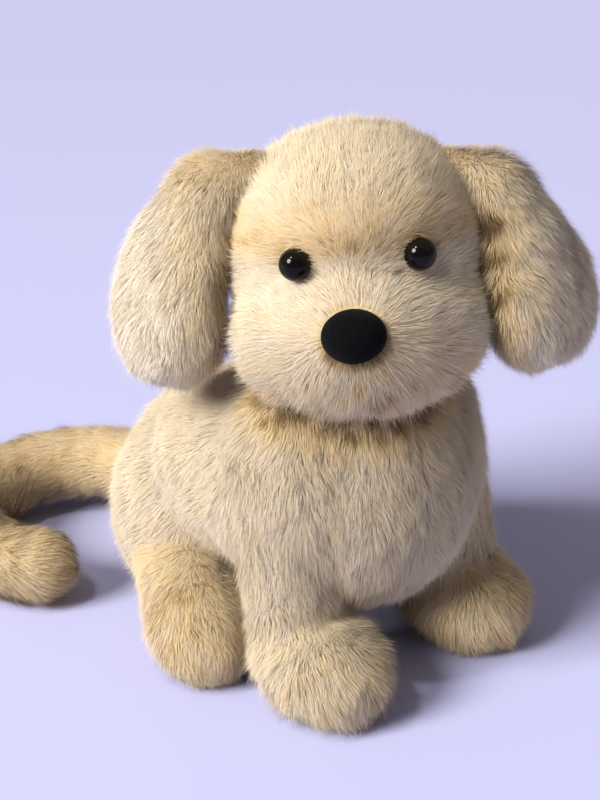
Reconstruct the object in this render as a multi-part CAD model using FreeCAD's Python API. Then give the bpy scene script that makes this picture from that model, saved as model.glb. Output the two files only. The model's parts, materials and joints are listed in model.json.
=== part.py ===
import FreeCAD, Part
import math
import os

# Sitting plush puppy, in millimetres: it faces -Y, its left side is +X, and it sits on z = 0.
# Every soft part is a sewn skin of pile fabric over a filling that stays a little clear of it.

Vector = FreeCAD.Vector
Placement = FreeCAD.Placement
Rotation = FreeCAD.Rotation
X_AXIS = Vector(1, 0, 0)
Y_AXIS = Vector(0, 1, 0)
Z_AXIS = Vector(0, 0, 1)

# Fabric and fits
SKIN = 5.0             # pile fabric, backing and pressed pile together
EAR_SKIN = 3.0         # the ears use a shorter pile
FILL_GAP = 0.4         # between a skin and the filling inside it
JOINT_GAP = 0.5        # between two parts that move against each other
SOLE = 2.0             # flat felt soles and the seat panel
FAR = 400.0            # larger than the whole toy, for cutting tools

# Torso: seat, chest and neck balls, joined by tapered tubes
SEAT = Vector(0, 56, 43)
SEAT_RADIUS = 45.0
CHEST = Vector(0, -12, 81)
CHEST_RADIUS = 44.0
NECK = Vector(0, -18, 118)
NECK_RADIUS = 32.0
COLLAR_RADIUS = 37.0   # clear bore under the head, round the neck's turning axis
BELLY_HALF_WIDTH = 18.0
BELLY_BACK = 20.0
BELLY_TOP = 92.0
POUCH = Vector(0, 36, 32)
POUCH_RADIUS = 17.0
RECESS_TOP = 10.0      # the bore under the head ends this far above the neck ball's middle
RECESS_HEIGHT = 60.0

# Head: a round skull with a broad muzzle across its front, turned towards its right
HEAD_CENTRE = Vector(1, -22, 171)
HEAD_TURN = -39.0
HEAD_LIFT = -6.0
HEAD_TILT = -5.0
SKULL_RADIUS = 47.0
HEAD_MIDDLE = Vector(0, 0, 0)
MUZZLE_MIDDLE = Vector(0, -24, -22)
MUZZLE_HALF_SPAN = 18.0
MUZZLE_RADIUS = 30.0
BROW_HEIGHT = 5.0
MUZZLE_BACK = -8.0
CHIN_DROP = 36.0
CROWN_HALF_WIDTH = 16.0

# Face fittings: domed eyes and a flocked nose, each with a stem and a washer behind the skin
EYE_RADIUS = 6.0
EYE_SIDE = 22.0
EYE_AHEAD = 41.4
EYE_HEIGHT = 8.5
NOSE_HALF_WIDTH = 11.6
NOSE_HALF_DEPTH = 9.0
NOSE_HALF_HEIGHT = 9.7
NOSE_SIDE = -3.5       # the nose is sewn on a little off the middle
NOSE_AHEAD = 55.5
NOSE_DROP = 15.5
STEM_RADIUS = 1.8
STEM_LENGTH = 14.0
STEM_CLEAR = 0.2
WASHER_RADIUS = 6.5
WASHER_THICKNESS = 1.2
WASHER_BACK = 3.0      # from the stem's end
BORE_SPARE = 1.0       # how much further a hole runs than what goes into it

# Ears: a flap that leaves the head's side and hangs down beside the cheek
EAR_ROOT = Vector(41, 0, 33)
EAR_ROOT_RADIUS = 8.0
EAR_FOLD = Vector(62, 0, 18)
EAR_FOLD_RADIUS = 11.0
EAR_END = Vector(71, 0, -31)
EAR_END_RADIUS = 13.0
EAR_WIDEN = 1.85       # front-to-back stretch of the flap
EAR_CLEAR = 4.0        # round the root, so that the flap clears the cheek as it lifts

# Front legs, from the shoulder
SHOULDER = Vector(38, -24, 98)
SHOULDER_RADIUS = 21.0
ANKLE = Vector(0, -8, -78.5)
TOE = Vector(3, -35, -79)
FOOT_RADIUS = 19.5
SHOULDER_FACE = 14.0   # from the leg's middle to the flat face that lies on the torso
SHOULDER_FLAT = 63.0   # how far down the leg that face reaches

# Hind legs, from the hip, turned out at the toes
HIP = Vector(38, 46, 40)
HIP_RADIUS = 24.0
HIND_TOE = Vector(0, -46, -21.5)
HIND_TOE_RADIUS = 20.0
TOES_OUT = 27.0
HIP_FACE = 13.0
HIP_UNDER = 12.0       # how far behind the hip the pocket's floor is open for the thigh

# Tail: a stem out of the seat and a bend to the right with a rounded end, sloping to the floor
TAIL_ROOT = Vector(0, 94, 24)
TAIL_RADIUS = 16.0
TAIL_HUB_RADIUS = 16.5
TAIL_HUB_HALF = 3.0    # half the length of the hub's upright round face
TAIL_STEM = 28.0
TAIL_BEND = 46.0
TAIL_CURL = 220.0      # degrees of bend
TAIL_SLOPE = -4.8


def tapered_tube(start, start_radius, end, end_radius):
    """Two balls and the cone that touches both, as one turned solid."""
    axis = end - start
    length = axis.Length
    lean = (start_radius - end_radius) / length
    reach = math.sqrt(1 - lean * lean)
    low_pole = Vector(0, 0, -start_radius)
    low_tangent = Vector(start_radius * reach, 0, start_radius * lean)
    high_tangent = Vector(end_radius * reach, 0, length + end_radius * lean)
    high_pole = Vector(0, 0, length + end_radius)
    low_middle = Vector(reach, 0, lean - 1)
    low_middle.normalize()
    high_middle = Vector(reach, 0, lean + 1)
    high_middle.normalize()
    edges = [
        Part.Arc(low_pole, low_middle * start_radius, low_tangent).toShape(),
        Part.LineSegment(low_tangent, high_tangent).toShape(),
        Part.Arc(high_tangent, Vector(0, 0, length) + high_middle * end_radius, high_pole).toShape(),
        Part.LineSegment(high_pole, low_pole).toShape(),
    ]
    solid = Part.Face(Part.Wire(edges)).revolve(Vector(0, 0, 0), Z_AXIS, 360)
    solid.Placement = Placement(start, Rotation(Z_AXIS, axis))
    return solid


def ball(centre, radius):
    return Part.makeSphere(radius, centre)


def slab(low, high):
    """A box between two corners."""
    size = high - low
    return Part.makeBox(size.x, size.y, size.z, low)


def floor_cut():
    """Everything at or under the floor."""
    return slab(Vector(-FAR, -FAR, -FAR), Vector(FAR, FAR, 0))


def sole_layer():
    return slab(Vector(-FAR, -FAR, 0), Vector(FAR, FAR, SOLE))


def moved(shape, placement):
    copy = shape.copy()
    copy.Placement = placement.multiply(copy.Placement)
    return copy


def mirrored(shape):
    """The same part for the right side."""
    return shape.mirror(Vector(0, 0, 0), X_AXIS)


def stretched(shape, along_x, along_y, along_z):
    matrix = FreeCAD.Matrix()
    matrix.scale(along_x, along_y, along_z)
    return shape.transformGeometry(matrix)


# Where each limb and the head sit

def shoulder_placement():
    return Placement(SHOULDER, Rotation())


def hip_placement():
    return Placement(HIP, Rotation(Z_AXIS, TOES_OUT))


def head_placement():
    turn = Rotation(Z_AXIS, HEAD_TURN)
    lift = Rotation(X_AXIS, HEAD_LIFT)
    tilt = Rotation(Y_AXIS, HEAD_TILT)
    return Placement(HEAD_CENTRE, turn.multiply(lift).multiply(tilt))


# Torso

def limb_pocket(placement, radius, face, inset):
    """Room in the torso's side for a limb that swings forward about its own X axis."""
    wall = -face - inset
    turning = Part.makeCylinder(radius + JOINT_GAP + inset, FAR, Vector(wall, 0, 0), X_AXIS)
    swing = slab(Vector(wall, -FAR, -FAR), Vector(FAR, radius + JOINT_GAP + inset, 0))
    return moved(turning.fuse(swing), placement)


def hip_pocket(inset):
    """The hip's pocket also clears the foot when it lifts, but leaves the chest alone."""
    wall = -HIP_FACE - inset
    room = HIP_RADIUS + JOINT_GAP + inset
    turning = Part.makeCylinder(room, FAR, Vector(wall, 0, 0), X_AXIS)
    swing = slab(Vector(wall, -FAR, -FAR), Vector(FAR, 0, room))
    under = slab(Vector(wall, -FAR, -FAR), Vector(FAR, HIP_UNDER + inset, 0))
    return moved(turning.fuse(swing).fuse(under), hip_placement())


def tail_hub(radius):
    """An upright round-ended hub, about which the tail wags."""
    half = Z_AXIS * TAIL_HUB_HALF
    return tapered_tube(TAIL_ROOT - half, radius, TAIL_ROOT + half, radius)


def tail_socket(inset):
    return tail_hub(TAIL_HUB_RADIUS + JOINT_GAP + inset)


def torso(inset):
    body = tapered_tube(SEAT, SEAT_RADIUS - inset, CHEST, CHEST_RADIUS - inset)
    neck = tapered_tube(CHEST, CHEST_RADIUS - inset, NECK, NECK_RADIUS - inset)
    shape = body.fuse(neck)
    shoulder = limb_pocket(shoulder_placement(), SHOULDER_RADIUS, SHOULDER_FACE, inset)
    hip = hip_pocket(inset)
    for tool in (shoulder, mirrored(shoulder), hip, mirrored(hip), tail_socket(inset), floor_cut()):
        shape = shape.cut(tool)
    return shape


def torso_parts():
    outer = torso(0)
    seat_panel = outer.common(sole_layer())
    above = slab(Vector(-FAR, -FAR, SOLE), Vector(FAR, FAR, FAR))
    skin = outer.common(above).cut(torso(SKIN).common(above))
    belly_box = slab(Vector(-BELLY_HALF_WIDTH, -FAR, 0), Vector(BELLY_HALF_WIDTH, BELLY_BACK, BELLY_TOP))
    sides = skin.cut(belly_box)
    left_half = slab(Vector(0, -FAR, -FAR), Vector(FAR, FAR, FAR))
    filling = torso(SKIN + FILL_GAP).common(moved(above, Placement(Vector(0, 0, FILL_GAP), Rotation())))
    room = ball(POUCH, POUCH_RADIUS + FILL_GAP)
    return {
        "seat_panel": seat_panel,
        "belly_panel": skin.common(belly_box),
        "torso_side_left": sides.common(left_half),
        "torso_side_right": sides.cut(left_half),
        "torso_stuffing": filling.cut(room),
        "bean_pouch": ball(POUCH, POUCH_RADIUS),
    }


# Head

def ear_flap(inset):
    """The ear before it is stretched along the hinge line Y, about which its root is round."""
    upper = tapered_tube(EAR_ROOT, EAR_ROOT_RADIUS - inset, EAR_FOLD, EAR_FOLD_RADIUS - inset)
    lower = tapered_tube(EAR_FOLD, EAR_FOLD_RADIUS - inset, EAR_END, EAR_END_RADIUS - inset)
    return upper.fuse(lower)


def widened(shape):
    return stretched(shape, 1, EAR_WIDEN, 1)


def ear_socket(inset):
    """Round about the hinge line and long enough for the stretched root."""
    half = EAR_ROOT_RADIUS * EAR_WIDEN - EAR_ROOT_RADIUS
    radius = EAR_ROOT_RADIUS + EAR_CLEAR + inset
    return tapered_tube(EAR_ROOT - Y_AXIS * half, radius, EAR_ROOT + Y_AXIS * half, radius)


def neck_recess(inset):
    """A ball seat over the neck and a round bore below it, both about the turning axis."""
    seat = ball(NECK, NECK_RADIUS + JOINT_GAP + inset)
    foot = NECK + Z_AXIS * (RECESS_TOP - RECESS_HEIGHT)
    bore = Part.makeCylinder(COLLAR_RADIUS + inset, RECESS_HEIGHT, foot, Z_AXIS)
    return moved(seat.fuse(bore), head_placement().inverse())


def head_shape(inset):
    skull = ball(HEAD_MIDDLE, SKULL_RADIUS - inset)
    left_end = MUZZLE_MIDDLE + X_AXIS * MUZZLE_HALF_SPAN
    right_end = MUZZLE_MIDDLE - X_AXIS * MUZZLE_HALF_SPAN
    muzzle = tapered_tube(right_end, MUZZLE_RADIUS - inset, left_end, MUZZLE_RADIUS - inset)
    shape = skull.fuse(muzzle)
    socket = ear_socket(inset)
    for tool in (neck_recess(inset), socket, mirrored(socket)):
        shape = shape.cut(tool)
    return shape


def fitting(place, aim, dome, head_outer):
    """A dome on the skin, its stem, the hole it needs, its washer and the washer's room."""
    inward = aim - place
    inward.normalize()
    stem = Part.makeCylinder(STEM_RADIUS, STEM_LENGTH, place, inward)
    hole = Part.makeCylinder(STEM_RADIUS + STEM_CLEAR, STEM_LENGTH + BORE_SPARE, place, inward)
    seat = place + inward * (STEM_LENGTH - WASHER_BACK)
    washer = Part.makeCylinder(WASHER_RADIUS, WASHER_THICKNESS, seat, inward).cut(hole)
    room_depth = WASHER_THICKNESS + 2 * FILL_GAP + BORE_SPARE
    room = Part.makeCylinder(WASHER_RADIUS + FILL_GAP, room_depth, seat - inward * FILL_GAP, inward)
    return dome.cut(head_outer).fuse(stem), hole, washer, room


def face_fittings(head_outer):
    nose_place = Vector(NOSE_SIDE, -NOSE_AHEAD, -NOSE_DROP)
    nose_dome = stretched(ball(Vector(0, 0, 0), 1), NOSE_HALF_WIDTH, NOSE_HALF_DEPTH, NOSE_HALF_HEIGHT)
    nose_dome = moved(nose_dome, Placement(nose_place, Rotation()))
    found = {"nose": fitting(nose_place, MUZZLE_MIDDLE, nose_dome, head_outer)}
    for side, name in ((1, "eye_left"), (-1, "eye_right")):
        place = Vector(side * EYE_SIDE, -EYE_AHEAD, EYE_HEIGHT)
        found[name] = fitting(place, HEAD_MIDDLE, ball(place, EYE_RADIUS), head_outer)
    return found


def head_parts():
    outer = head_shape(0)
    skin = outer.cut(head_shape(SKIN))
    filling = head_shape(SKIN + FILL_GAP)
    parts = {}
    for name, (piece, hole, washer, room) in face_fittings(outer).items():
        skin = skin.cut(hole)
        filling = filling.cut(hole).cut(room)
        parts[name] = piece
        washer_name = name.replace("eye", "eye_washer") if "eye" in name else "nose_washer"
        parts[washer_name] = washer
    muzzle_box = slab(Vector(-FAR, -FAR, -CHIN_DROP), Vector(FAR, MUZZLE_BACK, BROW_HEIGHT))
    chin_box = slab(Vector(-FAR, -FAR, -FAR), Vector(FAR, MUZZLE_BACK, -CHIN_DROP))
    crown_box = slab(Vector(-CROWN_HALF_WIDTH, -FAR, -FAR), Vector(CROWN_HALF_WIDTH, FAR, FAR))
    left_half = slab(Vector(0, -FAR, -FAR), Vector(FAR, FAR, FAR))
    upper = skin.cut(muzzle_box).cut(chin_box)
    sides = upper.cut(crown_box)
    parts["muzzle_panel"] = skin.common(muzzle_box)
    parts["chin_panel"] = skin.common(chin_box)
    parts["crown_panel"] = upper.common(crown_box)
    parts["head_side_left"] = sides.common(left_half)
    parts["head_side_right"] = sides.cut(left_half)
    parts["head_stuffing"] = filling
    return parts


def ear_parts():
    flap = ear_flap(0)
    skin = flap.cut(ear_flap(EAR_SKIN))
    divide = Placement(EAR_FOLD, Rotation(Z_AXIS, EAR_FOLD - EAR_END))
    outside = moved(slab(Vector(0, -FAR, -FAR), Vector(FAR, FAR, FAR)), divide)
    return {
        "ear_outer": widened(skin.common(outside)),
        "ear_inner": widened(skin.cut(outside)),
        "ear_wadding": widened(ear_flap(EAR_SKIN + FILL_GAP)),
    }


# Limbs

def front_leg(inset):
    """A straight leg with a forward paw, flat where it lies on the torso and the floor."""
    column = tapered_tube(Vector(0, 0, 0), SHOULDER_RADIUS - inset, ANKLE, FOOT_RADIUS - inset)
    paw = tapered_tube(ANKLE, FOOT_RADIUS - inset, TOE, FOOT_RADIUS - inset)
    inside = slab(Vector(-FAR, -FAR, -FAR), Vector(-SHOULDER_FACE + JOINT_GAP + inset, FAR, FAR))
    inside = inside.common(ball(Vector(0, 0, 0), SHOULDER_FLAT))
    return moved(column.fuse(paw).cut(inside), shoulder_placement())


def hind_leg(inset):
    """A round thigh and a foot that points forward and out."""
    thigh = tapered_tube(Vector(0, 0, 0), HIP_RADIUS - inset, HIND_TOE, HIND_TOE_RADIUS - inset)
    inside = slab(Vector(-FAR, -FAR, -FAR), Vector(-HIP_FACE + JOINT_GAP + inset, FAR, FAR))
    return moved(thigh.cut(inside), hip_placement())


def limb_parts(name, make_limb, middle):
    """Skin in an outer and an inner panel, sole and filling of one left-hand limb."""
    above = slab(Vector(-FAR, -FAR, SOLE), Vector(FAR, FAR, FAR))
    outer = make_limb(0).cut(floor_cut())
    skin = outer.common(above).cut(make_limb(SKIN).common(above))
    outside = moved(slab(Vector(0, -FAR, -FAR), Vector(FAR, FAR, FAR)), middle)
    filling_base = moved(above, Placement(Vector(0, 0, FILL_GAP), Rotation()))
    return {
        name + "_outer_panel": skin.common(outside),
        name + "_inner_panel": skin.cut(outside),
        name + "_sole": outer.common(sole_layer()),
        name + "_stuffing": make_limb(SKIN + FILL_GAP).common(filling_base),
    }


# Tail

def tail(inset):
    """Drawn flat from the root, sloped down so that its end lies on the floor, and joined to its hub."""
    radius = TAIL_RADIUS - inset
    stem_end = Vector(0, TAIL_STEM, 0)
    stem = Part.makeCylinder(radius, TAIL_STEM, Vector(0, 0, 0), Y_AXIS)
    bend_centre = stem_end - Vector(TAIL_BEND, 0, 0)
    bend = Part.makeTorus(TAIL_BEND, radius, Vector(0, 0, 0), Z_AXIS, -180, 180, TAIL_CURL)
    bend = moved(bend, Placement(bend_centre, Rotation()))
    curl = math.radians(TAIL_CURL)
    tip = ball(bend_centre + Vector(math.cos(curl), math.sin(curl), 0) * TAIL_BEND, radius)
    shape = tail_hub(TAIL_HUB_RADIUS - inset)
    for piece in (stem, bend, tip):
        shape = shape.fuse(moved(piece, tail_placement()))
    return shape


def tail_placement():
    return Placement(TAIL_ROOT, Rotation(Y_AXIS, TAIL_SLOPE))


def tail_parts():
    skin = tail(0).cut(tail(SKIN))
    upper_half = moved(slab(Vector(-FAR, -FAR, 0), Vector(FAR, FAR, FAR)), tail_placement())
    return {
        "tail_upper": skin.common(upper_half),
        "tail_lower": skin.cut(upper_half),
        "tail_stuffing": tail(SKIN + FILL_GAP),
    }


def whole_toy():
    parts = dict(torso_parts())
    for name, shape in head_parts().items():
        parts[name] = moved(shape, head_placement())
    for name, shape in ear_parts().items():
        parts[name + "_left"] = moved(shape, head_placement())
        parts[name + "_right"] = moved(mirrored(shape), head_placement())
    limbs = dict(limb_parts("front_leg", front_leg, shoulder_placement()))
    limbs.update(limb_parts("hind_leg", hind_leg, hip_placement()))
    for name, shape in limbs.items():
        parts[name + "_left"] = shape
        parts[name + "_right"] = mirrored(shape)
    parts.update(tail_parts())
    return parts


def origin_shift(shapes):
    """From the drawing's frame to the middle of the toy's footprint."""
    box = FreeCAD.BoundBox()
    for shape in shapes:
        box.add(shape.optimalBoundingBox(False, False))
    return Vector(-box.Center.x, -box.Center.y, -box.ZMin)


def report_joint(name, point, axis):
    print("joint %s pos_m %.5f %.5f %.5f axis %.5f %.5f %.5f" % (
        name, point.x / 1000, point.y / 1000, point.z / 1000, axis.x, axis.y, axis.z))


os.makedirs("parts", exist_ok=True)
toy = whole_toy()
shift = origin_shift(toy.values())
print("shift", shift)
for node, shape in sorted(toy.items()):
    shape = moved(shape, Placement(shift, Rotation()))
    solids = len(shape.Solids)
    print("%-28s solids %d valid %s volume %.0f" % (node, solids, shape.isValid(), shape.Volume))
    shape.exportStep("parts/%s.step" % node)

head = head_placement()
report_joint("head_turn", NECK + shift, Z_AXIS)
report_joint("front_leg_left", SHOULDER + shift, X_AXIS * -1)
report_joint("hind_leg_left", HIP + shift, hip_placement().Rotation.multVec(X_AXIS) * -1)
report_joint("tail_wag", TAIL_ROOT + shift, Z_AXIS)
report_joint("ear_left", head.multVec(EAR_ROOT) + shift, head.Rotation.multVec(Y_AXIS) * -1)
ear_right_root = Vector(-EAR_ROOT.x, EAR_ROOT.y, EAR_ROOT.z)
report_joint("ear_right", head.multVec(ear_right_root) + shift, head.Rotation.multVec(Y_AXIS))
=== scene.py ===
import json
import math

import bpy
import numpy as np
from mathutils import Matrix, Vector
from mathutils.kdtree import KDTree

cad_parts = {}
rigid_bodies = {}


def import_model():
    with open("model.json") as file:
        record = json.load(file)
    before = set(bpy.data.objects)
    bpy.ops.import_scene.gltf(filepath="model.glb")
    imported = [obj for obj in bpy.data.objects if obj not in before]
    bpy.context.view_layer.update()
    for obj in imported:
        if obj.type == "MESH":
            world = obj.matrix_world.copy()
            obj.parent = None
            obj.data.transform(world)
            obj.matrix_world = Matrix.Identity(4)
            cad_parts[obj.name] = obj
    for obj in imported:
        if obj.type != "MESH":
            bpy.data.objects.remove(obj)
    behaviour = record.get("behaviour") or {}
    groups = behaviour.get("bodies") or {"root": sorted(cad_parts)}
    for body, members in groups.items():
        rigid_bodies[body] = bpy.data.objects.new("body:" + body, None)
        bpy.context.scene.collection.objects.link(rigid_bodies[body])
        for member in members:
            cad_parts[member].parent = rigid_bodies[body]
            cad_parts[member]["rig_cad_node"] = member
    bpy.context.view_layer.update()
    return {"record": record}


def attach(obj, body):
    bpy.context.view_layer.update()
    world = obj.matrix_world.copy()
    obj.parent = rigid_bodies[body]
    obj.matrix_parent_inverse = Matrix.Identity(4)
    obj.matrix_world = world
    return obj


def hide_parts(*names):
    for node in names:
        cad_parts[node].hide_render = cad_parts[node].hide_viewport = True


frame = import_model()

# A sitting toy puppy in faux fur. Sizes are in millimetres in the CAD drawing's frame, where the
# puppy faces -Y, its left is +X and the floor is z = 0; to_scene turns them into scene metres.
MM = 0.001
NECK = np.array([0.0, -18.0, 118.0])     # the head turns about this point
RNG = np.random.default_rng(20)


def joint_place(name):
    joints = frame["record"]["behaviour"]["joints"]
    return np.array([j["pos_m"] for j in joints if j["name"] == name][0])


SHIFT = joint_place("head_turn") - NECK * MM


def to_scene(points):
    return np.asarray(points, float) * MM + SHIFT


def turn(axis, degrees):
    return np.array(Matrix.Rotation(math.radians(degrees), 3, axis))


# ---------------------------------------------------------------- soft shapes as distance fields

def ellipsoid(centre, radii, rotation=None):
    """Distance to an ellipsoid, close enough near its surface."""
    centre = np.asarray(centre, float)
    radii = np.asarray(radii, float)
    frame_axes = np.eye(3) if rotation is None else rotation

    def field(p):
        q = (p - centre) @ frame_axes
        scaled = np.linalg.norm(q / radii, axis=-1)
        slope = np.linalg.norm(q / radii ** 2, axis=-1) + 1e-9
        return scaled * (scaled - 1) / slope
    return field


def limb(start, start_radius, end, end_radius):
    """Distance to a tapered tube with round ends."""
    start = np.asarray(start, float)
    axis = np.asarray(end, float) - start

    def field(p):
        along = np.clip((p - start) @ axis / (axis @ axis), 0, 1)
        gap = np.linalg.norm(p - start - along[..., None] * axis, axis=-1)
        return gap - (start_radius + (end_radius - start_radius) * along)
    return field


def blended(fields, softness):
    """Smooth union of fields."""
    def field(p):
        total = fields[0](p)
        for other in fields[1:]:
            value = other(p)
            mix = np.clip(0.5 + 0.5 * (value - total) / softness, 0, 1)
            total = value * (1 - mix) + total * mix - softness * mix * (1 - mix)
        return total
    return field


def flat_bottom(field, height):
    return lambda p: np.maximum(field(p), height - p[..., 2])


def slope_of(field, p, step=0.4):
    parts = []
    for axis in range(3):
        offset = np.zeros(3)
        offset[axis] = step
        parts.append(field(p + offset) - field(p - offset))
    gradient = np.stack(parts, -1)
    return gradient / (np.linalg.norm(gradient, axis=-1, keepdims=True) + 1e-9)


SETTLING_ROUNDS = 3          # the net's points are drawn onto the surface, a step at a time
SETTLING_STEP = 0.9


def surface_of(field, low, high, cell):
    """Surface nets: a point in each cell that the surface crosses, a quad across each edge."""
    axes = [np.arange(low[k], high[k] + cell, cell) for k in range(3)]
    grid = np.stack(np.meshgrid(*axes, indexing="ij"), -1)
    values = field(grid)
    inside = values < 0
    shape = np.array(values.shape) - 1
    total = np.zeros((*shape, 3))
    count = np.zeros(shape)
    quads = []
    for axis in range(3):
        others = [k for k in range(3) if k != axis]
        first = [slice(None)] * 3
        second = [slice(None)] * 3
        first[axis] = slice(0, -1)
        second[axis] = slice(1, None)
        a, b = values[tuple(first)], values[tuple(second)]
        crossing = inside[tuple(first)] != inside[tuple(second)]
        where = np.argwhere(crossing)
        ratio = a[crossing] / (a[crossing] - b[crossing])
        place = np.stack([axes[k][where[:, k]] for k in range(3)], -1)
        place[:, axis] += ratio * cell
        corners = []
        for du, dv in ((0, 0), (-1, 0), (-1, -1), (0, -1)):
            index = where.copy()
            index[:, others[0]] += du
            index[:, others[1]] += dv
            corners.append(index)
            np.add.at(total, tuple(index.T), place)
            np.add.at(count, tuple(index.T), 1)
        quad = np.stack(corners, 1)
        flip = inside[tuple(first)][crossing] ^ (axis == 1)
        quad[~flip] = quad[~flip][:, ::-1]
        quads.append(quad)
    number = -np.ones(shape, int)
    used = count > 0
    number[used] = np.arange(used.sum())
    points = total[used] / count[used][:, None]
    quads = np.concatenate(quads)
    faces = number[tuple(np.moveaxis(quads, -1, 0))]
    for _ in range(SETTLING_ROUNDS):
        points = points - slope_of(field, points) * field(points)[:, None] * SETTLING_STEP
    return points, faces


# ---------------------------------------------------------------- the puppy's shapes

HEAD_CENTRE = np.array([1.0, -22.0, 171.0])
HEAD_AXES = turn("Z", -39) @ turn("X", -6) @ turn("Y", -5)
FLOOR = 0.6                  # the pile under the paws holds the skin this far off the floor
SKIN_CELL = 2.2
SIDES = (("left", 1), ("right", -1))


def on_head(point):
    return HEAD_CENTRE + HEAD_AXES @ np.asarray(point, float)


def head_ball(point, radii, rotation=None):
    spin = HEAD_AXES if rotation is None else HEAD_AXES @ rotation
    return ellipsoid(on_head(point), radii, spin)


def head_field():
    parts = [
        head_ball((0, 2, 4), (46, 43, 43)),
        head_ball((-1, -18, -22), (44, 32, 29)),
        head_ball((-2, -33, -19), (25, 22, 19)),
        head_ball((0, -20, 20), (32, 24, 22)),
    ]
    return blended(parts, 9)


def torso_field():
    parts = [
        ellipsoid((0, 58, 46), (43, 43, 46)),
        limb((0, 48, 54), 40, (0, -6, 87), 39),
        ellipsoid((3, -24, 79), (46, 40, 50)),
        limb((0, -14, 100), 36, (0, -18, 126), 33),
    ]
    for _, side in SIDES:
        parts.append(ellipsoid((side * 32, -20, 86), (23, 27, 38)))
        parts.append(ellipsoid((side * 26, 12, 78), (30, 42, 32)))
        parts.append(ellipsoid((side * 29, 48, 44), (28, 36, 37)))
    return flat_bottom(blended(parts, 10), FLOOR)


LEG_PLACE = {1: 45.0, -1: -34.5}
LEG_THICK = {1: 18.5, -1: 16.5}
PAWS = {
    1: ellipsoid((45, -42.5, 17), (20, 24, 17.5)),
    -1: ellipsoid((-34.6, -46.6, 17.5), (21, 26, 17.5)),
}


def front_leg_field(side):
    place = LEG_PLACE[side]
    parts = [limb((side * 37, -22, 96), 19, (place, -30, 26), LEG_THICK[side]), PAWS[side]]
    return flat_bottom(blended(parts, 9), FLOOR)


HIND_BACK = {1: 7.0, -1: 1.2}        # how far each hind paw is pushed back to clear the front leg


def hind_leg_field(side):
    back = HIND_BACK[side]
    parts = [
        limb((side * 35, 43, 32), 21, (side * 54, 8 + back, 21), 19),
        ellipsoid((side * 56, 1 + back, 17), (17, 20, 17), turn("Z", side * 27)),
    ]
    return flat_bottom(blended(parts, 9), FLOOR)


EAR_PLACE = {"left": (65, -1, -9), "right": (-71, -1, -3)}
EAR_LOBE = {"left": (66, -1, -23), "right": (-71.5, -1, -18)}
EAR_START = {"left": (37, 2, 25), "right": (-36, 2, 30)}
EAR_TOP = {"left": (51, 1, 19), "right": (-52, 1, 27)}
EAR_LEAN = {"left": 25, "right": 22}


def ear_field(name, side):
    centre = np.array(EAR_PLACE[name], float)
    spin = turn("Z", -side * 38) @ turn("Y", -side * EAR_LEAN[name])
    flap = head_ball(centre, (11.5, 25, 35), spin)
    lobe = head_ball(EAR_LOBE[name], (12.5, 26, 23), turn("Z", -side * 38))
    root = limb(on_head(EAR_START[name]), 11.5, on_head(EAR_TOP[name]), 13)
    inside = limb(on_head(EAR_TOP[name]), 12.5, on_head((side * 60, -2, 4)), 12)
    return blended([flap, lobe, root, inside], 8)


TAIL_ROOT = np.array([0.0, 94.0, 24.0])
TAIL_BEND = 46.0
TAIL_STEM = 28.0
TAIL_CURL = math.radians(220)
TAIL_AXES = turn("Y", -4.8)
TAIL_THICK = 13.5


def tail_line(steps=26):
    """The tail's middle line: a stem and a bend to the right."""
    bend_centre = np.array([-TAIL_BEND, TAIL_STEM, 0])
    points = [np.zeros(3), np.array([0, TAIL_STEM * 0.5, 0])]
    for angle in np.linspace(0, TAIL_CURL, steps):
        points.append(bend_centre + TAIL_BEND * np.array([math.cos(angle), math.sin(angle), 0]))
    return [TAIL_ROOT + TAIL_AXES @ p for p in points]


def tail_field():
    line = tail_line()
    pieces = [limb(a, TAIL_THICK, b, TAIL_THICK) for a, b in zip(line[:-1], line[1:])]
    return flat_bottom(blended(pieces, 1.5), FLOOR)


def add_skin(name, field, low, high):
    points, faces = surface_of(field, np.array(low, float), np.array(high, float), SKIN_CELL)
    mesh = bpy.data.meshes.new(name)
    mesh.from_pydata(to_scene(points).tolist(), [], faces.tolist())
    mesh.validate()
    mesh.shade_smooth()
    piece = bpy.data.objects.new(name, mesh)
    bpy.context.scene.collection.objects.link(piece)
    return piece


def box_round(point, reach):
    point = np.asarray(point, float)
    return point - reach, point + reach


def build_skins():
    """Every skin with its field and the body that it rides on."""
    found = {}

    def add(name, field, box, body):
        found[name] = (add_skin(name, field, *box), field, body)

    add("head_skin", head_field(), box_round(HEAD_CENTRE, 66), "head")
    add("torso_skin", torso_field(), ((-66, -70, -4), (66, 112, 170)), "torso")
    for name, side in SIDES:
        add("front_leg_skin_" + name, front_leg_field(side),
            box_round((side * 38, -34, 58), (34, 48, 66)), "front_leg_" + name)
        add("hind_leg_skin_" + name, hind_leg_field(side),
            box_round((side * 48, 22, 30), (38, 54, 38)), "hind_leg_" + name)
        add("ear_skin_" + name, ear_field(name, side),
            box_round(on_head(EAR_PLACE[name]), 62), "ear_" + name)
    add("tail_skin", tail_field(), ((-112, 70, -4), (22, 186, 48)), "tail")
    return found


# ---------------------------------------------------------------- pile

HAIRS_PER_CM2 = 560
HAIRS_PER_PIECE = 60000
SEGMENTS = (0.0, 0.5)                # where a hair's rings are; its point is at 1
RING_WIDTH = (1.0, 0.9)              # a ring's width as a share of the hair's
HAIR_WIDTH = 0.15
RIBBON_TILT = 0.12                   # how far ribbons turn at random from facing outward
FACING_SHARE = 0.25                  # how far a ribbon is shaded as itself, not as its skin
SHADE_SCATTER = 0.1
LOWEST_HAIR = 0.25                   # no hair reaches closer to the floor than this
BARE_BELOW = 1.2                     # nor does any grow from below this height

STRAY_SHARE = 0.12                   # hairs that stand out from the rest
STRAY_LENGTH = 1.25
STRAY_RISE = 1.5
HAIRS_PER_TUFT = 70
TUFT_PULL = 0.36                     # how far the tightest tufts draw their hairs together
DROOP = 0.12

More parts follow.
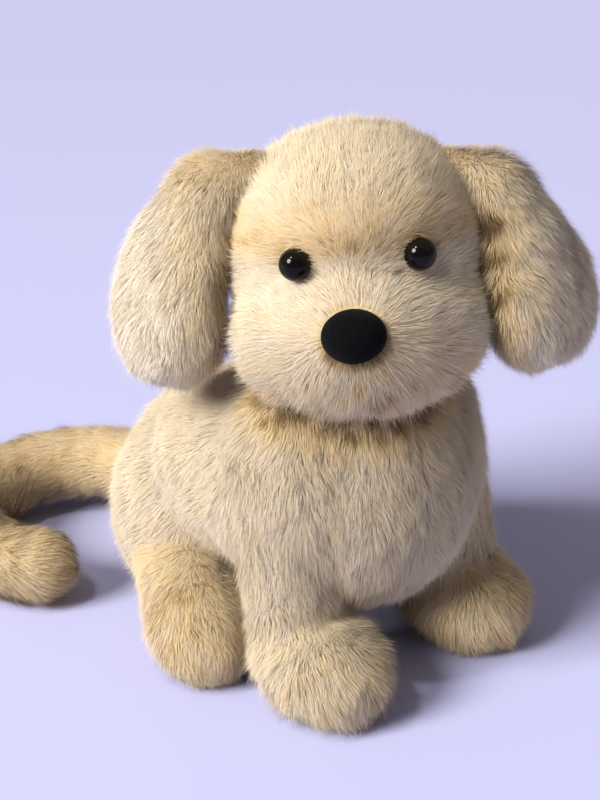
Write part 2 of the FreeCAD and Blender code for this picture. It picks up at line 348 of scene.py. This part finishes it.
BURIED = 6.0                         # no pile where a skin lies this deep inside another
BURIED_NEAR_HEAD = 9.0
NOSE_ON_HEAD = np.array([-3.5, -62.0, -15.5])
NOSE_BARE = np.array([9.5, 8.0])     # half width and height of the bare patch under the nose
EYE_ON_HEAD = (np.array([22.0, -42.0, 8.5]), np.array([-22.0, -42.0, 8.5]))
EYE_BARE = 4.4


def step_between(low, high, x):
    t = np.clip((x - low) / (high - low), 0, 1)
    return t * t * (3 - 2 * t)


def unit(v):
    return v / (np.linalg.norm(v, axis=-1, keepdims=True) + 1e-9)


def dot(a, b):
    return (a * b).sum(-1, keepdims=True)


def same(value, p):
    return np.full(len(p), value)


class Waves:
    """Smooth noise: a sum of sine waves of about one wavelength, each its own way."""

    def __init__(self, wavelength, count=7):
        self.ways = unit(RNG.normal(size=(count, 3))) * (2 * math.pi / wavelength)
        self.ways *= RNG.uniform(0.7, 1.4, size=(count, 1))
        self.starts = RNG.uniform(0, 2 * math.pi, size=(count, 3))
        self.scale = 1.4 / math.sqrt(count)

    def vectors(self, p):
        phase = p @ self.ways.T
        sums = [np.sin(phase + self.starts[:, k]).sum(-1) for k in range(3)]
        return np.stack(sums, -1) * self.scale

    def numbers(self, p):
        return np.sin(p @ self.ways.T + self.starts[:, 0]).sum(-1) * self.scale


BROAD = Waves(26.0)
FINE = Waves(8.0)
TUFT = Waves(14.0)
HEAD_SHAPE = head_field()


# Each pile rule takes points on a skin and gives the hairs' length, lie, tone and rise there. Tone
# runs from 0, pale, to 1, brown. Rise is how steeply a hair leaves the skin.

def head_pile(p):
    """It grows away from the nose, and down at the back of the head."""
    q = (p - HEAD_CENTRE) @ HEAD_AXES
    away = q - NOSE_ON_HEAD
    from_nose = np.linalg.norm(away, axis=-1)
    lie = unit(away)
    rim = step_between(17, 12.5, from_nose) * step_between(2, 6, away[:, 2])
    lie = lie * (1 - 1.6 * rim[:, None])
    behind = step_between(-10, 34, q[:, 1])[:, None]
    lie = unit(lie * (1 - behind) + np.array([0, 0.35, -1.0]) * behind)
    low = step_between(-16, -40, q[:, 2])
    length = 8.5 + 4.0 * low
    length *= 0.62 + 0.38 * step_between(11, 26, from_nose)
    rise = 0.85 - 0.25 * low + 0.7 * step_between(17, 12, from_nose)
    for eye in EYE_ON_HEAD:
        gap = np.linalg.norm(q - eye, axis=-1)
        near = step_between(10, 6, gap)
        length *= 0.76 + 0.24 * step_between(6, 13, gap)
        rise = rise + 0.8 * near
        lie = unit(lie * (1 - near[:, None]) + unit(eye - q) * near[:, None])
    front = step_between(4, -22, q[:, 1])
    above = step_between(4.5, 12, q[:, 2])
    band = above * np.exp(-((q[:, 2] - 13) / 13) ** 2) * front
    length *= 1 - 0.15 * above * np.exp(-((q[:, 2] - 10) / 6) ** 2) * front
    tone = 0.22 + 0.4 * band + 0.1 * above
    # painted shade: the lower head, under the muzzle and at the chin, is painted browner in uneven
    # patches
    tone = tone + low * (0.3 + 0.35 * step_between(0.3, 1.7, FINE.numbers(p)))
    # painted shade: a dark brown ring in the pile round the nose
    tone = np.maximum(tone, 0.97 * step_between(15.5, 12.5, from_nose))
    return length, lie @ HEAD_AXES.T, tone, rise


def torso_pile(p):
    front = step_between(20, -40, p[:, 1])
    lie = np.stack([0.25 * np.sign(p[:, 0]), 0.75 - front, same(-1.0, p)], -1)
    # painted shade: the throat under the head is painted brown
    painted_throat_shade = step_between(32, 6, HEAD_SHAPE(p)) * step_between(20, -20, p[:, 1])
    tone = 0.26 + 0.1 * step_between(70, 10, p[:, 2])
    tone = np.maximum(tone, 0.92 * painted_throat_shade)
    return same(9.6, p), unit(lie), tone, same(0.72, p)


def front_leg_pile(side):
    def rule(p):
        top = np.array([LEG_PLACE[side], -34, 44])
        down = np.array([0, -0.2, -1.0])
        paw = step_between(44, 26, p[:, 2])[:, None]
        lie = unit(down * (1 - paw) + unit(p - top) * paw)
        # painted shade: the paws are painted a little more golden
        tone = (0.5 if side > 0 else 0.26) + 0.12 * paw[:, 0]
        length = 9 + 2.5 * paw[:, 0]
        return length, lie, tone, 0.7 + 0.1 * paw[:, 0]
    return rule


def hind_leg_pile(side):
    def rule(p):
        top = np.array([side * 50, 22, 52])
        lie = unit(unit(p - top) + np.array([0, -0.2, -0.5]))
        tone = 0.4 + 0.24 * step_between(56, 40, p[:, 2])
        return same(9.2, p), lie, tone, same(0.62, p)
    return rule


def ear_pile(name, side):
    def rule(p):
        q = (p - HEAD_CENTRE) @ HEAD_AXES
        root = np.array([side * 40, 2, 44])
        lie = unit(unit(q - root) * 0.7 + np.array([side * 0.1, 0, -0.7]))
        inward = step_between(4, -14, side * (q[:, 0] - EAR_PLACE[name][0]))
        reach = 26 if side > 0 else 15
        # painted shade: the pile in the crease where the ear meets the head is painted brown,
        # deeper and wider on the left ear
        painted_crease_shade = step_between(reach, 5, HEAD_SHAPE(p)) * step_between(30, 16, q[:, 2])
        tone = np.maximum(0.5 * inward, (1.0 if side > 0 else 0.8) * painted_crease_shade)
        length = 8.6 * (0.5 + 0.5 * step_between(34, 52, side * q[:, 0]))
        return length, lie @ HEAD_AXES.T, tone, 0.6 + 0.15 * inward
    return rule


def tail_pile(p):
    line = np.array(tail_line(40))
    middle = (line[1:] + line[:-1]) / 2
    along = unit(line[1:] - line[:-1])
    nearest = ((p[:, None] - middle[None]) ** 2).sum(-1).argmin(1)
    lie = along[nearest] + np.array([0, 0, -0.15])
    return same(9.0, p), lie, same(0.68, p), same(0.45, p)


PILE = {"head_skin": head_pile, "torso_skin": torso_pile, "tail_skin": tail_pile}
for side_name, side_sign in SIDES:
    PILE["front_leg_skin_" + side_name] = front_leg_pile(side_sign)
    PILE["hind_leg_skin_" + side_name] = hind_leg_pile(side_sign)
    PILE["ear_skin_" + side_name] = ear_pile(side_name, side_sign)


def places_on(skin, per_cm2):
    """Random points on a skin, spread evenly by area."""
    mesh = skin.data
    mesh.calc_loop_triangles()
    co = np.empty(len(mesh.vertices) * 3)
    mesh.vertices.foreach_get("co", co)
    co = (co.reshape(-1, 3) - SHIFT) / MM
    tri = np.empty(len(mesh.loop_triangles) * 3, int)
    mesh.loop_triangles.foreach_get("vertices", tri)
    a, b, c = co[tri.reshape(-1, 3)].transpose(1, 0, 2)
    area = np.linalg.norm(np.cross(b - a, c - a), axis=1) / 2
    reach = np.cumsum(area)
    count = int(reach[-1] / 100 * per_cm2)
    pick = np.searchsorted(reach, (np.arange(count) + RNG.random(count)) / count * reach[-1])
    pick = np.minimum(pick, len(area) - 1)
    u, v = RNG.random((2, count, 1))
    fold = u + v > 1
    u, v = np.where(fold, 1 - u, u), np.where(fold, 1 - v, v)
    return a[pick] + (b - a)[pick] * u + (c - a)[pick] * v


def hair_lines(p, normal, rule):
    """Each hair's middle line at its rings and its point, and its tone."""
    length, lie, tone, rise = rule(p)
    lie = lie - dot(lie, normal) * normal
    lie = unit(lie) + 0.16 * BROAD.vectors(p) + 0.14 * FINE.vectors(p)
    lie = unit(lie + 0.16 * RNG.normal(size=p.shape))
    lie = unit(lie - dot(lie, normal) * normal)
    count = len(p)
    length = length * (1 + 0.07 * TUFT.numbers(p)) * RNG.uniform(0.66, 1.02, count)
    rise = rise * (1 + 0.12 * FINE.numbers(p)) * RNG.uniform(0.75, 1.25, count)
    stray = RNG.random(count) < STRAY_SHARE
    length = np.where(stray, length * STRAY_LENGTH, length)
    rise = np.where(stray, rise * STRAY_RISE, rise)
    start = unit(normal * (rise[:, None] + 0.25) + lie * 0.75)
    finish = unit(normal * (rise[:, None] * 0.45) + lie * 1.05 + np.array([0, 0, -DROOP]))
    steps = np.array(SEGMENTS + (1.0,))[None, :, None]
    line = p[:, None] + length[:, None, None] * (
        start[:, None] * (steps - 0.5 * steps ** 2) + finish[:, None] * 0.5 * steps ** 2)
    # each hair leans to the tip of its tuft's guide hair, which is the guide nearest to its root
    guides = RNG.choice(count, max(8, count // HAIRS_PER_TUFT), replace=False)
    tree = KDTree(len(guides))
    tips = line[guides, -1]
    for k, place in enumerate(p[guides]):
        tree.insert(place, k)
    tree.balance()
    owner = np.array([tree.find(place)[1] for place in p.tolist()])
    pull = RNG.uniform(0.0, TUFT_PULL, len(guides))[owner] * RNG.uniform(0.3, 1.0, count)
    gap = tips[owner] - line[:, -1]
    line = line + gap[:, None] * pull[:, None, None] * steps ** 2
    line[..., 2] = np.maximum(line[..., 2], LOWEST_HAIR)
    tone = tone + 0.035 * BROAD.numbers(p) + 0.06 * FINE.numbers(p) + 0.06 * RNG.normal(size=count)
    tone = tone + RNG.normal(size=len(guides))[owner] * 0.04
    return line, np.clip(tone, 0.02, 0.98)


def ribbon_pattern():
    """One ribbon's faces, which are quads and then a point, and where their corners lie on it."""
    faces, places = [], []
    for ring in range(len(SEGMENTS) - 1):
        low, high = SEGMENTS[ring], SEGMENTS[ring + 1]
        near = ring * 2
        faces.append((near, near + 1, near + 3, near + 2))
        places.append(((0, low), (1, low), (1, high), (0, high)))
    last = (len(SEGMENTS) - 1) * 2
    faces.append((last, last + 1, last + 2))
    places.append(((0, SEGMENTS[-1]), (1, SEGMENTS[-1]), (0.5, 1.0)))
    return faces, np.array([place for face in places for place in face])


def add_hairs(name, line, normal, tone, body, material):
    """Hairs as thin pointed ribbons, broad side outward, shaded mostly like the skin below them.

    Their UVs hold the tone across and the way from root to point along."""
    count = len(line)
    along = unit(line[:, -1] - line[:, 0])
    outward = unit(normal + RIBBON_TILT * RNG.normal(size=(count, 3)))
    across = unit(np.cross(along, outward))
    facing = np.cross(across, along)
    width = HAIR_WIDTH * RNG.uniform(0.7, 1.25, count)
    corners = []
    for ring, share in enumerate(RING_WIDTH):
        half = across * (width * share / 2)[:, None]
        corners += [line[:, ring] - half, line[:, ring] + half]
    corners.append(line[:, -1])
    points = np.stack(corners, 1).reshape(-1, 3)
    per_hair = len(corners)

    faces, places = ribbon_pattern()
    flat = np.array([v for face in faces for v in face])
    sizes = np.array([len(face) for face in faces])
    loops = (flat[None] + np.arange(count)[:, None] * per_hair).ravel()
    starts = np.concatenate([[0], np.cumsum(np.tile(sizes, count))[:-1]])
    mesh = bpy.data.meshes.new(name)
    mesh.vertices.add(len(points))
    mesh.vertices.foreach_set("co", to_scene(points).ravel())
    mesh.loops.add(len(loops))
    mesh.loops.foreach_set("vertex_index", loops)
    mesh.polygons.add(len(starts))
    mesh.polygons.foreach_set("loop_start", starts)

    uv = np.empty((count, len(flat), 2))
    uv[..., 0] = tone[:, None] + (places[None, :, 0] - 0.5) * 0.03
    uv[..., 1] = 0.02 + 0.96 * places[None, :, 1]
    layer = mesh.uv_layers.new(name="OFBake")
    layer.uv.foreach_set("vector", uv.ravel())
    mesh.update(calc_edges=True)
    mesh.shade_smooth()
    shading = unit(normal + FACING_SHARE * facing + SHADE_SCATTER * RNG.normal(size=(count, 3)))
    mesh.normals_split_custom_set_from_vertices(np.repeat(shading, per_hair, axis=0).tolist())
    mesh.materials.append(material)
    piece = bpy.data.objects.new(name, mesh)
    bpy.context.scene.collection.objects.link(piece)
    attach(piece, body)


def grows_at(p, name, body, skins):
    """Whether pile grows at each point: not in the floor, in another skin or under a part."""
    grows = p[:, 2] > BARE_BELOW
    for other, (_, other_field, other_body) in skins.items():
        if other != name:
            near_head = "head" in (body, other_body) or "ear" in body
            grows &= other_field(p) > -(BURIED_NEAR_HEAD if near_head else BURIED)
    if name == "head_skin":
        q = (p - HEAD_CENTRE) @ HEAD_AXES
        for eye in EYE_ON_HEAD:
            grows &= np.linalg.norm((q - eye)[:, [0, 2]], axis=1) > EYE_BARE
        nose = (q - NOSE_ON_HEAD)[:, [0, 2]] / NOSE_BARE
        grows &= (np.linalg.norm(nose, axis=1) > 1) | (q[:, 1] > -30)
    return grows


def grow_pile(skins, material):
    for name, (skin, field, body) in skins.items():
        p = places_on(skin, HAIRS_PER_CM2)
        p = p[grows_at(p, name, body, skins)]
        p = p[RNG.permutation(len(p))]
        normal = slope_of(field, p)
        line, tone = hair_lines(p, normal, PILE[name])
        parts = math.ceil(len(p) / HAIRS_PER_PIECE)
        base = name.replace("_skin", "_pile")
        for k in range(parts):
            some = slice(k, None, parts)
            add_hairs(f"{base}_{k + 1}", line[some], normal[some], tone[some], body, material)


# ---------------------------------------------------------------- materials

def srgb(red, green, blue):
    def linear(value):
        value /= 255
        return value / 12.92 if value <= 0.04045 else ((value + 0.055) / 1.055) ** 2.4
    return linear(red), linear(green), linear(blue), 1.0


class Nodes:
    """A new material with its Principled shader and short ways to add and join nodes."""

    def __init__(self, name, roughness, **uniform):
        self.material = bpy.data.materials.new(name)
        self.material.use_nodes = True
        self.tree = self.material.node_tree
        self.shader = self.tree.nodes["Principled BSDF"]
        self.shader.inputs["Roughness"].default_value = roughness
        for key, value in uniform.items():
            socket = key.replace("_", " ").title().replace("Ior", "IOR")
            self.shader.inputs[socket].default_value = value

    def add(self, kind, links=(), **values):
        node = self.tree.nodes.new(kind)
        for key, value in values.items():
            if key in node.inputs:
                node.inputs[key].default_value = value
            else:
                setattr(node, key, value)
        for socket, source in dict(links).items():
            self.tree.links.new(source, node.inputs[socket])
        return node

    def ramp(self, source, stops):
        node = self.add("ShaderNodeValToRGB", {"Fac": source})
        marks = node.color_ramp.elements
        while len(marks) < len(stops):
            marks.new(0.5)
        for mark, (place, colour) in zip(marks, stops):
            mark.position = place
            mark.color = colour
        return node.outputs["Color"]

    def join(self, source, socket):
        self.tree.links.new(source, self.shader.inputs[socket])

    def bump(self, height, distance, strength=1.0):
        node = self.add("ShaderNodeBump", {"Height": height}, Distance=distance, Strength=strength)
        self.join(node.outputs["Normal"], "Normal")


# tone, then the colour of a hair of that tone at its tip and at its root
PILE_COLOURS = (
    (0.0, srgb(218, 206, 184), srgb(216, 200, 170)),
    (0.16, srgb(206, 192, 166), srgb(195, 178, 148)),
    (0.55, srgb(212, 193, 158), srgb(200, 176, 130)),
    (0.8, srgb(216, 190, 143), srgb(188, 157, 103)),
    # the brown end is mostly painted shade: the ear creases, the throat and the ring round the
    # nose
    (1.0, srgb(112, 88, 58), srgb(82, 62, 38)),
)
TIP_FROM = 0.7                       # a hair has its tip's full colour from here to its point
MIX_A, MIX_B, MIX_RESULT = 6, 7, 2   # a Mix node's colour sockets, which share names with others


def pile_material():
    m = Nodes("pile", 0.85, specular_ior_level=0.1, sheen_weight=0.1, sheen_roughness=0.5)
    uv = m.add("ShaderNodeUVMap", uv_map="OFBake")
    split = m.add("ShaderNodeSeparateXYZ", {"Vector": uv.outputs["UV"]})
    tips = m.ramp(split.outputs["X"], [(tone, tip) for tone, tip, _ in PILE_COLOURS])
    roots = m.ramp(split.outputs["X"], [(tone, root) for tone, _, root in PILE_COLOURS])
    along = m.add("ShaderNodeMapRange", {"Value": split.outputs["Y"]})
    along.inputs["From Max"].default_value = TIP_FROM
    mix = m.add("ShaderNodeMix", data_type="RGBA")
    m.tree.links.new(along.outputs["Result"], mix.inputs["Factor"])
    m.tree.links.new(roots, mix.inputs[MIX_A])
    m.tree.links.new(tips, mix.inputs[MIX_B])
    m.join(mix.outputs[MIX_RESULT], "Base Color")
    return m.material


def skin_material():
    """The cloth under the pile: fine streaks of gold and cream."""
    m = Nodes("backing", 0.85, specular_ior_level=0.15, sheen_weight=0.3)
    place = m.add("ShaderNodeTexCoord").outputs["Object"]
    streaks = m.add("ShaderNodeTexNoise", {"Vector": place}, Scale=900.0, Detail=4.0)
    patches = m.add("ShaderNodeTexNoise", {"Vector": place}, Scale=70.0, Detail=2.0)
    total = m.add("ShaderNodeMath", {0: streaks.outputs["Fac"], 1: patches.outputs["Fac"]},
                  operation="ADD")
    half = m.add("ShaderNodeMath", {0: total.outputs["Value"]}, operation="MULTIPLY")
    half.inputs[1].default_value = 0.5
    gold, cream = srgb(186, 158, 114), srgb(201, 181, 144)
    m.join(m.ramp(half.outputs["Value"], [(0.35, gold), (0.62, cream)]), "Base Color")
    m.bump(streaks.outputs["Fac"], 0.0006)
    return m.material


EYE_REACH = 0.0066                   # the colours run this far from the pupil's middle, in metres
EYE_WOBBLE = 0.0008                  # and waver by up to this


def eye_material(name, centre, forward):
    """Polished black dome with a dark brown ring round the pupil."""
    m = Nodes(name, 0.07, specular_ior_level=0.17)
    place = m.add("ShaderNodeTexCoord").outputs["Object"]
    out = m.add("ShaderNodeVectorMath", {0: place}, operation="SUBTRACT")
    out.inputs[1].default_value = centre
    sideways = m.add("ShaderNodeVectorMath", {0: out.outputs["Vector"]}, operation="CROSS_PRODUCT")
    sideways.inputs[1].default_value = forward
    reach = m.add("ShaderNodeVectorMath", {0: sideways.outputs["Vector"]}, operation="LENGTH")
    streak = m.add("ShaderNodeTexNoise", {"Vector": place}, Scale=900.0, Detail=2.0)
    wobble = m.add("ShaderNodeMath", {0: streak.outputs["Fac"]}, operation="MULTIPLY")
    wobble.inputs[1].default_value = EYE_WOBBLE
    total = m.add("ShaderNodeMath", {0: reach.outputs["Value"], 1: wobble.outputs["Value"]},
                  operation="ADD")
    scaled = m.add("ShaderNodeMath", {0: total.outputs["Value"]}, operation="DIVIDE")
    scaled.inputs[1].default_value = EYE_REACH
    black, brown, dim = srgb(5, 4, 4), srgb(18, 13, 10), srgb(15, 11, 9)
    stops = [(0.0, black), (0.5, black), (0.6, brown), (0.84, dim), (0.93, black)]
    m.join(m.ramp(scaled.outputs["Value"], stops), "Base Color")
    return m.material


def nose_material():
    """Black flock, with next to no shine."""
    m = Nodes("flock", 1.0, specular_ior_level=0.03, sheen_weight=0.03, sheen_roughness=0.4)
    place = m.add("ShaderNodeTexCoord").outputs["Object"]
    grain = m.add("ShaderNodeTexNoise", {"Vector": place}, Scale=2600.0, Detail=3.0)
    black, grey = srgb(4, 4, 5), srgb(20, 20, 22)
    m.join(m.ramp(grain.outputs["Fac"], [(0.3, black), (0.75, grey)]), "Base Color")
    m.bump(grain.outputs["Fac"], 0.0004)
    return m.material


def plain_material(name, low, high, roughness, scale):
    """A moulded or woven hidden part, with faint grain."""
    m = Nodes(name, roughness)
    place = m.add("ShaderNodeTexCoord").outputs["Object"]
    grain = m.add("ShaderNodeTexNoise", {"Vector": place}, Scale=scale, Detail=3.0)
    m.join(m.ramp(grain.outputs["Fac"], [(0.35, low), (0.7, high)]), "Base Color")
    m.bump(grain.outputs["Fac"], 0.0002)
    return m.material


def dress(node, material):
    """Give a CAD part that shows as it is its material."""
    shown = [o for o in bpy.data.objects if o.get("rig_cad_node") == node][0]
    for slot in shown.material_slots:
        slot.material = material


# ---------------------------------------------------------------- floor, light and camera

BACKDROP_COLOUR = srgb(211, 210, 247)
FLOOR_COLOUR = srgb(184, 185, 219)
FLOOR_REACH = 6.0
SKY_COLOUR = (1.0, 0.93, 0.96, 1.0)
SKY_STRENGTH = 0.29


def add_floor():
    """A plain pale floor that runs far behind the puppy."""
    mesh = bpy.data.meshes.new("floor")
    square = ((-1, -1), (1, -1), (1, 1), (-1, 1))
    corners = [(x * FLOOR_REACH, y * FLOOR_REACH, 0) for x, y in square]
    mesh.from_pydata(corners, [], [(0, 1, 2, 3)])
    floor = bpy.data.objects.new("floor", mesh)
    bpy.context.scene.collection.objects.link(floor)
    m = Nodes("floor", 0.9, specular_ior_level=0.1, base_color=FLOOR_COLOUR)
    mesh.materials.append(m.material)


def way_out(azimuth, elevation):
    """A direction away from the puppy. Azimuth 0 is in front of it and 90 on its left."""
    a, e = math.radians(azimuth), math.radians(elevation)
    return np.array([math.sin(a) * math.cos(e), -math.cos(a) * math.cos(e), math.sin(e)])


def add_aimed(name, data, location, back):
    """A lamp or a camera that looks along the opposite of back."""
    thing = bpy.data.objects.new(name, data)
    thing.location = location
    thing.rotation_euler = Vector(back).to_track_quat("Z", "Y").to_euler()
    bpy.context.scene.collection.objects.link(thing)
    return thing


def add_sun(azimuth, elevation, strength, softness, colour):
    """A soft key light."""
    data = bpy.data.lights.new("key", "SUN")
    data.energy = strength
    data.angle = math.radians(softness)
    data.color = colour
    towards = way_out(azimuth, elevation)
    add_aimed("key", data, Vector(towards), towards)


def add_softbox(azimuth, elevation, distance, size, power):
    """A small lamp that puts the bright dots in the eyes."""
    data = bpy.data.lights.new("softbox", "AREA")
    data.size = size
    data.energy = power
    towards = way_out(azimuth, elevation)
    aim = Vector(to_scene(HEAD_CENTRE))
    add_aimed("softbox", data, aim + Vector(towards) * distance, towards)


def add_light():
    """The two lamps, and a sky that lights the puppy while the camera sees a plain backdrop."""
    add_sun(-94, 34, 5.55, 26, (1.0, 0.98, 0.965))
    add_softbox(-92, 58, 0.9, 0.065, 2.3)
    world = bpy.data.worlds.new("world")
    world.use_nodes = True
    tree = world.node_tree
    sky = tree.nodes["Background"]
    sky.inputs["Color"].default_value = SKY_COLOUR
    sky.inputs["Strength"].default_value = SKY_STRENGTH
    backdrop = tree.nodes.new("ShaderNodeBackground")
    backdrop.inputs["Color"].default_value = BACKDROP_COLOUR
    seen = tree.nodes.new("ShaderNodeLightPath")
    choose = tree.nodes.new("ShaderNodeMixShader")
    tree.links.new(seen.outputs["Is Camera Ray"], choose.inputs["Fac"])
    tree.links.new(sky.outputs["Background"], choose.inputs[1])
    tree.links.new(backdrop.outputs["Background"], choose.inputs[2])
    tree.links.new(choose.outputs["Shader"], tree.nodes["World Output"].inputs["Surface"])
    bpy.context.scene.world = world
    bpy.context.scene.view_settings.view_transform = "Standard"


CAMERA_TARGET = (0, 0, 105)
CAMERA_DISTANCE = 700.0
CAMERA_AZIMUTH = -39
CAMERA_ELEVATION = 24
CAMERA_SENSOR = 36.0
CAMERA_LENS = 78.75
CAMERA_SHIFT = (-0.0225, -0.0025)


def set_camera():
    """The main view: from the puppy's right front, looking a little down."""
    back = way_out(CAMERA_AZIMUTH, CAMERA_ELEVATION)
    data = bpy.data.cameras.new("view")
    data.sensor_width = CAMERA_SENSOR
    data.lens = CAMERA_LENS
    data.shift_x, data.shift_y = CAMERA_SHIFT
    location = Vector(to_scene(CAMERA_TARGET) + back * CAMERA_DISTANCE * MM)
    bpy.context.scene.camera = add_aimed("view", data, location, back)


# ---------------------------------------------------------------- main

# the CAD solids that each skin stands for
SOFT = {
    "head_skin": ("crown_panel", "head_side_left", "head_side_right", "muzzle_panel", "chin_panel",
                  "head_stuffing"),
    "torso_skin": ("seat_panel", "belly_panel", "torso_side_left", "torso_side_right",
                   "torso_stuffing", "bean_pouch"),
    "tail_skin": ("tail_upper", "tail_lower", "tail_stuffing"),
}
for side_name, _ in SIDES:
    for leg in ("front_leg", "hind_leg"):
        SOFT[f"{leg}_skin_{side_name}"] = tuple(
            f"{leg}_{part}_{side_name}"
            for part in ("outer_panel", "inner_panel", "sole", "stuffing"))
    SOFT[f"ear_skin_{side_name}"] = tuple(
        f"ear_{part}_{side_name}" for part in ("outer", "inner", "wadding"))

skins = build_skins()
backing = skin_material()
for skin_name, (skin, _, body) in skins.items():
    skin.data.materials.append(backing)
    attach(skin, body)
    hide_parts(*SOFT[skin_name])
grow_pile(skins, pile_material())

forward = Vector(HEAD_AXES @ np.array([0.0, -1.0, 0.0]))
for (eye_name, _), place in zip(SIDES, EYE_ON_HEAD):
    centre = Vector(to_scene(on_head(place)))
    dress("eye_" + eye_name, eye_material("eye_" + eye_name, centre, forward))
dress("nose", nose_material())
white = plain_material("washer", srgb(222, 222, 216), srgb(236, 236, 232), 0.5, 400.0)
for node in ("nose_washer", "eye_washer_left", "eye_washer_right"):
    dress(node, white)

add_floor()
add_light()
set_camera()
